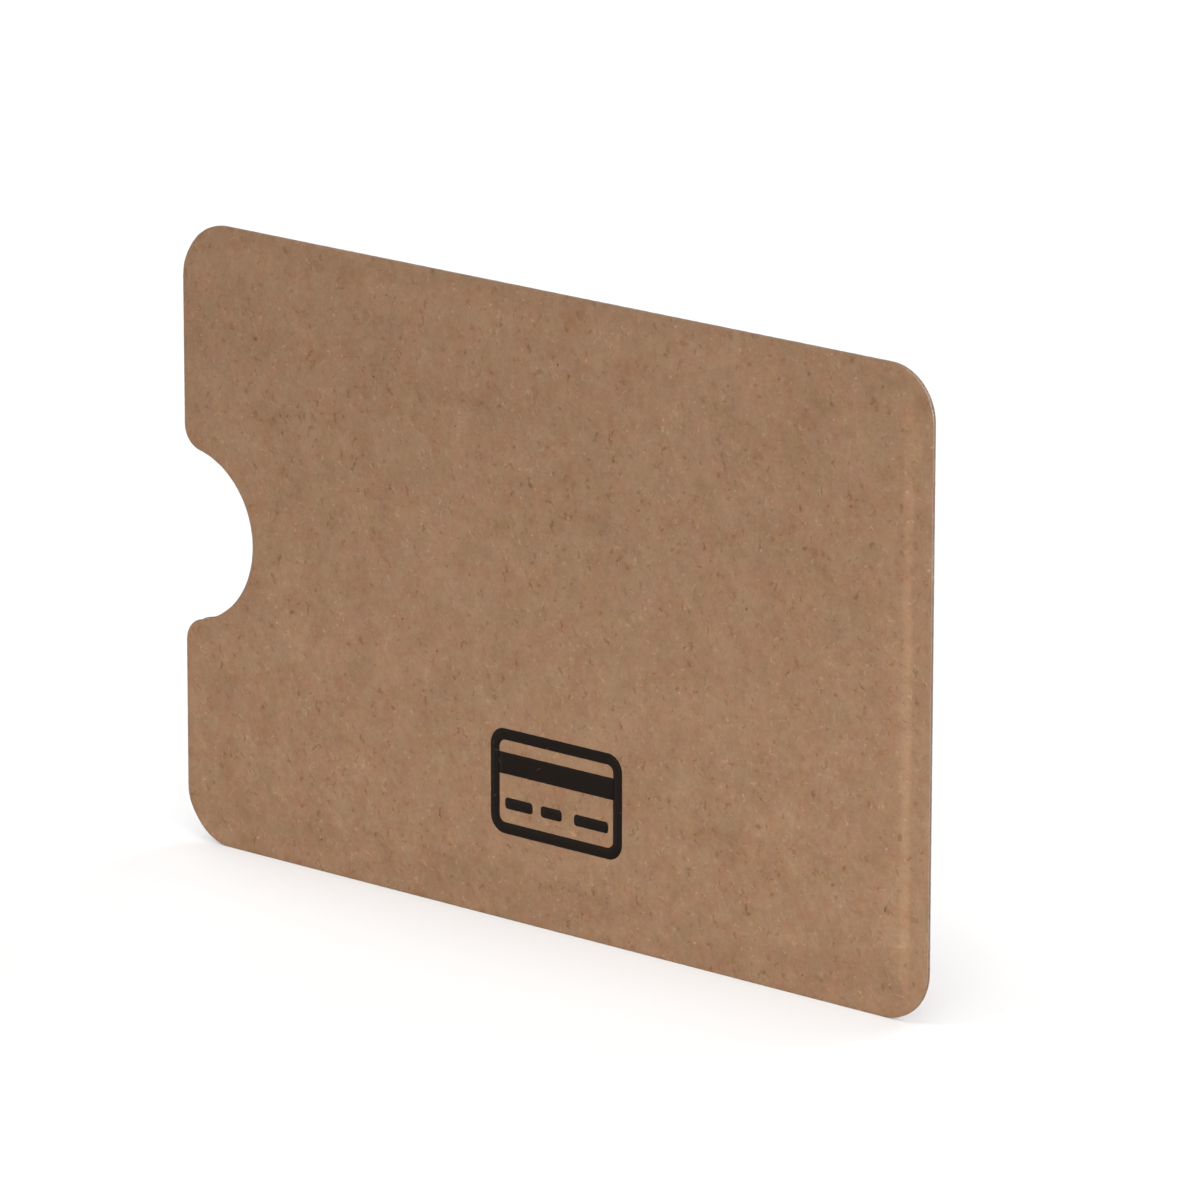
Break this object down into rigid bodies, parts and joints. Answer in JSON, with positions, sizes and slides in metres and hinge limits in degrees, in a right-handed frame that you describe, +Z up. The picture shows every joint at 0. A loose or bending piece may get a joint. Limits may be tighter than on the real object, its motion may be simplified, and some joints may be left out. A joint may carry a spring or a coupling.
{
  "type": "card sleeve",
  "caption": "Flat kraft-paper sleeve lined with aluminium foil, sealed along both long edges and one end, with a half-round thumb notch in the open end for a bank-size card.",
  "frame": {"origin": "on the surface the sleeve stands on, under the middle of its lower long edge and in the middle of its thickness", "axes": "+X along the sleeve from the open mouth to the sealed end, -Y out of the front cover, +Z up, across the sleeve from the lower long edge to the upper one"},
  "size_m": [0.091, 0.0014, 0.061],
  "materials": {
    "kraft_paper": "uncoated brown kraft with fine mixed fibres, matte",
    "foil": "thin rolled foil, satin",
    "film": "smooth thin film",
    "glue": "dried adhesive"
  },
  "bodies": {
    "root": {"front_paper": "kraft_paper", "front_foil": "foil", "front_film": "film", "back_paper": "kraft_paper", "back_foil": "foil", "back_film": "film", "end_seam_glue": "glue", "top_seam_glue": "glue", "bottom_seam_glue": "glue"}
  },
  "joints": []
}
